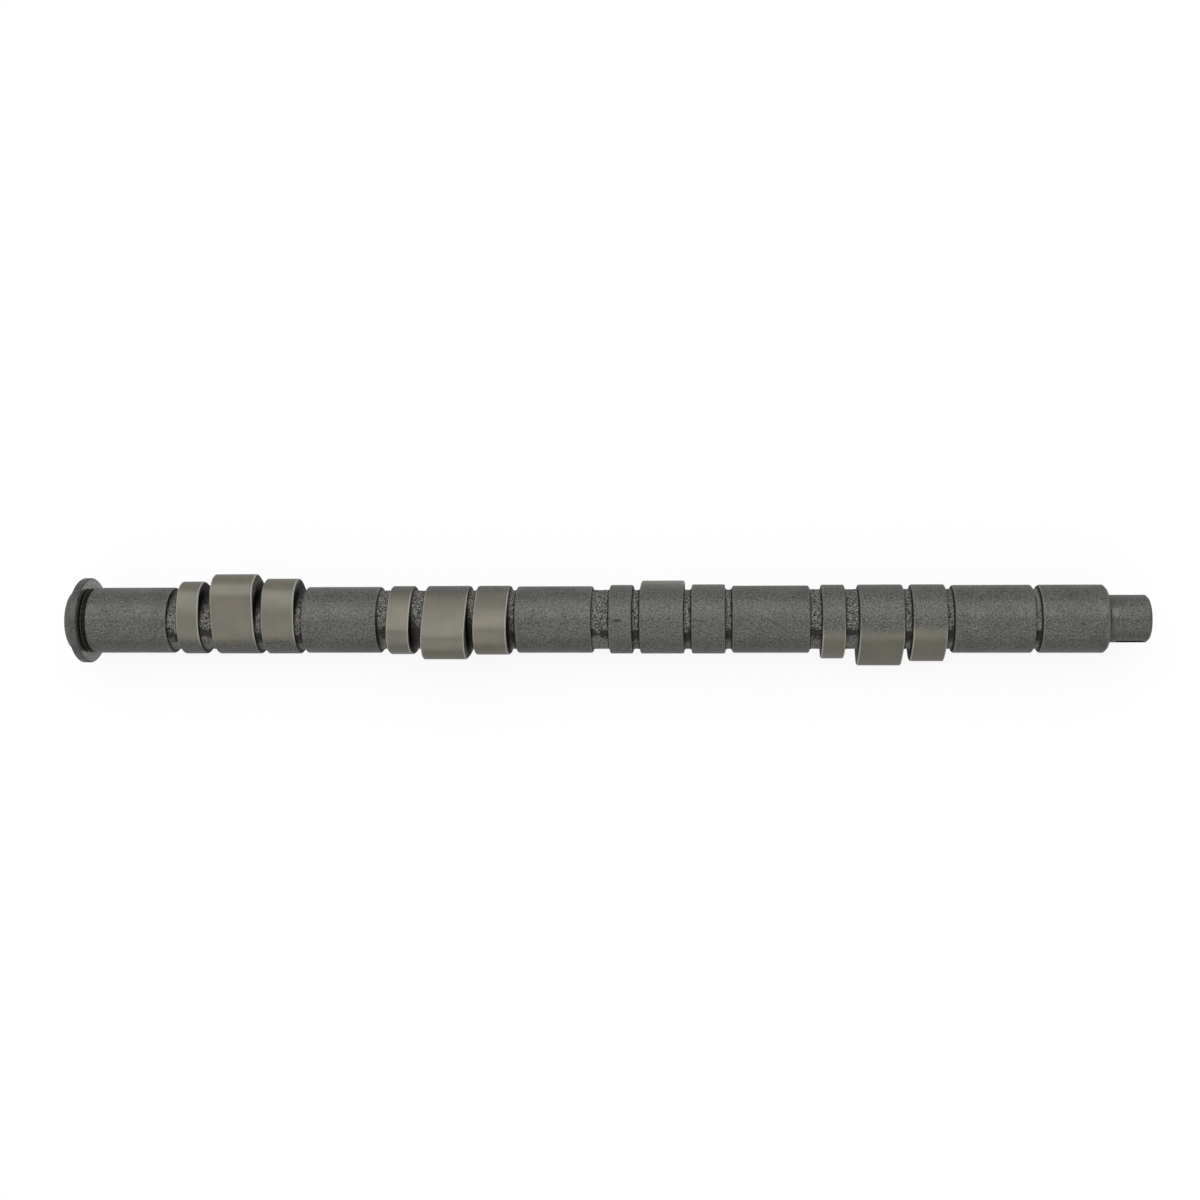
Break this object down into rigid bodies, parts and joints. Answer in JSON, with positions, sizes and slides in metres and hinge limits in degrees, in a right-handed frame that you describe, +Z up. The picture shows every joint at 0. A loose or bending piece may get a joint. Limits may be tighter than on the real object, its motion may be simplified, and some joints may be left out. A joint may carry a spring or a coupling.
{
  "type": "camshaft",
  "caption": "Cast camshaft with narrow, main and secondary lobes beside each bearing journal, a thrust flange at the drive end, and a seal land and keyed snout at the timing end.",
  "frame": {"origin": "on the shaft's axis, at the middle of the centre journal", "axes": "+X along the shaft towards the timing end with the keyed snout, +Z up with the shaft lying as it comes to rest on its flange and on the main lobes of the two cylinders nearest the timing end"},
  "size_m": [0.4516, 0.0364, 0.0364],
  "materials": {
    "chilled_cast_iron": "phosphated, with ground lobes and journals"
  },
  "bodies": {
    "root": {"camshaft": "chilled_cast_iron"}
  },
  "joints": []
}
